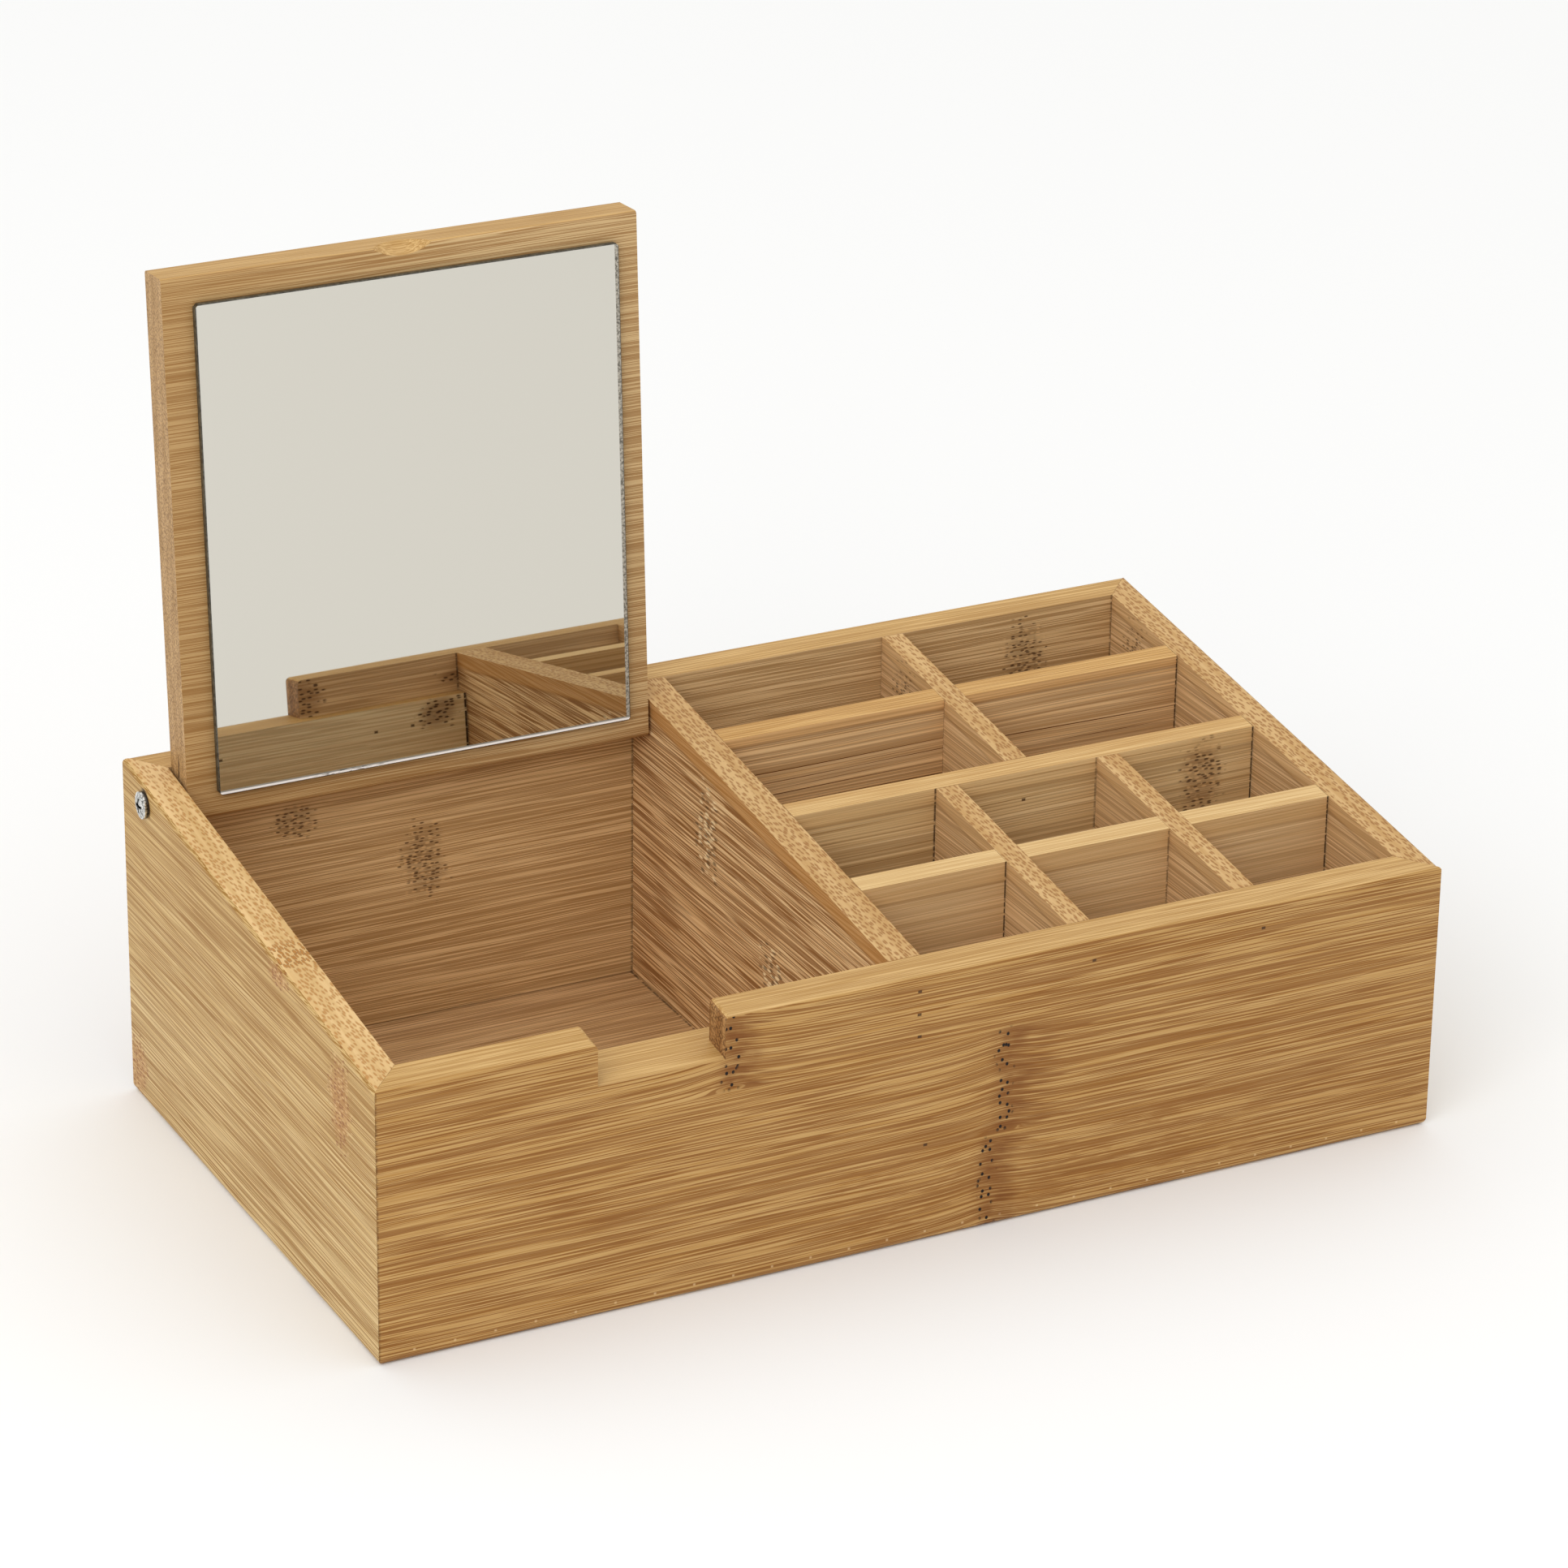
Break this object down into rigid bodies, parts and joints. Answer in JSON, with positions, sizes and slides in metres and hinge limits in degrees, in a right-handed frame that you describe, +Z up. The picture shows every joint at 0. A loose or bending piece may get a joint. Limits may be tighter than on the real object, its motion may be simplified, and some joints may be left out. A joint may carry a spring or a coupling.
{
  "type": "vanity organizer with mirror",
  "caption": "Bamboo box with a sloped top: a mirror compartment under a hinged lid that stands open against the back, and a grid of open cells beside it.",
  "frame": {"origin": "centre of the box's footprint, on the surface that it stands on", "axes": "+X to the right of a person in front of the box, +Y to the back, +Z up; the lid is stored open, as in the picture"},
  "size_m": [0.3319, 0.182, 0.2518],
  "materials": {
    "bamboo_front": "bamboo with long straight grain, satin clear lacquer",
    "bamboo_side": "pale bamboo, satin clear lacquer",
    "bamboo_inner": "bamboo panel, satin clear lacquer",
    "bamboo_divider": "bamboo with fine fibre dashes on the top edges, satin clear lacquer",
    "bamboo_lid": "bamboo with end grain at both ends, satin clear lacquer",
    "mirror": "silvered glass with ground edges",
    "adhesive": "mounting film behind the glass",
    "screw_metal": "zinc-plated steel, cross recess"
  },
  "bodies": {
    "box": {"front_panel": "bamboo_front", "back_panel": "bamboo_front", "left_side": "bamboo_side", "right_side": "bamboo_side", "bottom_panel": "bamboo_inner", "partition": "bamboo_divider", "lid_rest_strip": "bamboo_divider", "mid_rail": "bamboo_divider", "rear_cross_divider": "bamboo_divider", "front_cross_divider": "bamboo_divider", "rear_divider": "bamboo_divider", "front_left_divider": "bamboo_divider", "front_right_divider": "bamboo_divider"},
    "lid": {"lid_panel": "bamboo_lid", "mirror_adhesive": "adhesive", "mirror_glass": "mirror", "pivot_screws": "screw_metal"}
  },
  "joints": [
    {"name": "lid_hinge", "type": "hinge", "parent": "box", "child": "lid", "pos_m": [0, 0.07441, 0.09756], "axis": [1, 0, 0], "range_deg": [0, 100.97]}
  ]
}
